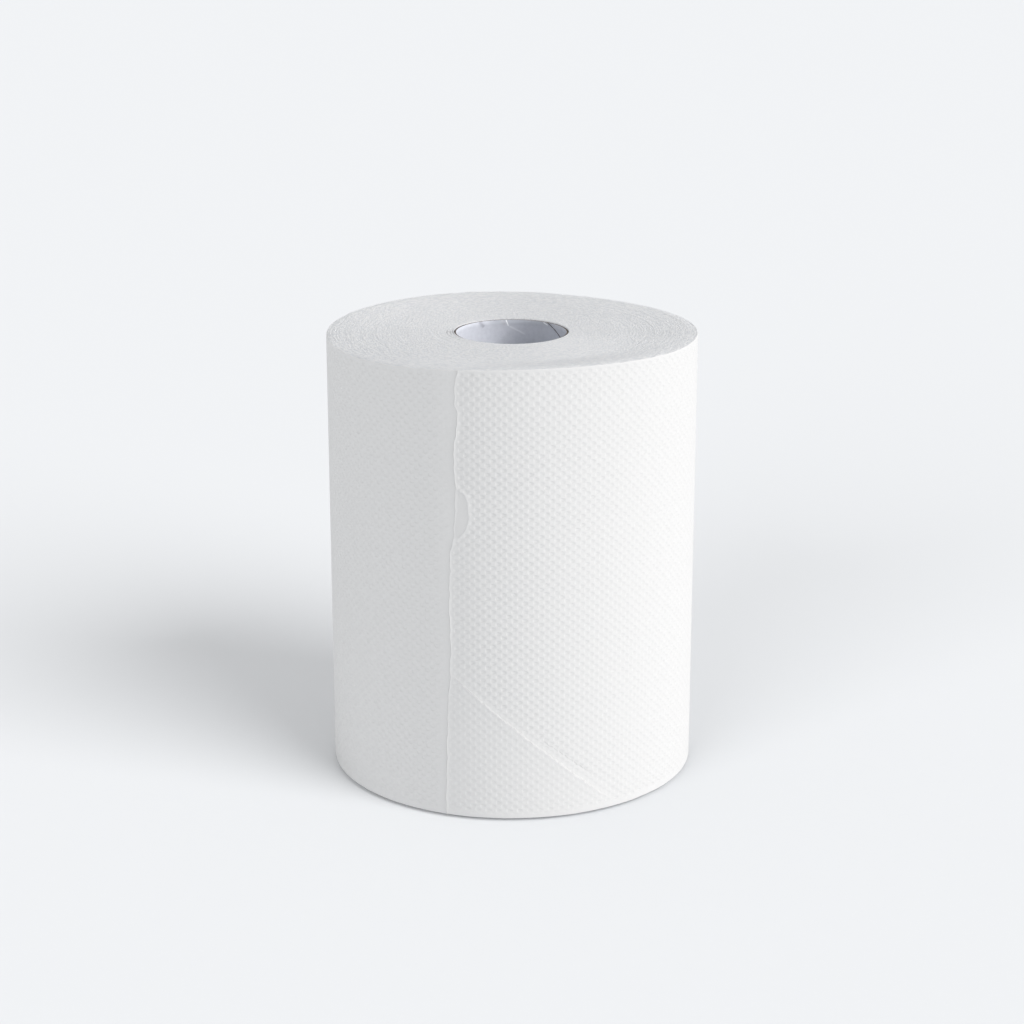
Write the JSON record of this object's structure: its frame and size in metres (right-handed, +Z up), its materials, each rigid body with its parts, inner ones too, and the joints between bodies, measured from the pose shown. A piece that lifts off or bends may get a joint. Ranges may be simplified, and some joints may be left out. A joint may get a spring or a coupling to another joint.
{
  "type": "paper towel roll",
  "caption": "Hand-towel roll: embossed paper sheet wound on an open cardboard tube, free-standing on its end or hung on a spindle through the tube.",
  "frame": {"origin": "on the roll's axis, in the plane of the lower end face that it stands on", "axes": "+Z up along the roll's axis; -Y faces the viewer, and the loose end of the sheet runs up the roll a little to the -X side of -Y"},
  "size_m": [0.1597, 0.1598, 0.194],
  "materials": {
    "paper": "matte soft tissue with a dotted emboss",
    "cardboard": "matte grey recycled board"
  },
  "bodies": {
    "root": {"paper_roll": "paper", "core_tube": "cardboard"}
  },
  "joints": []
}
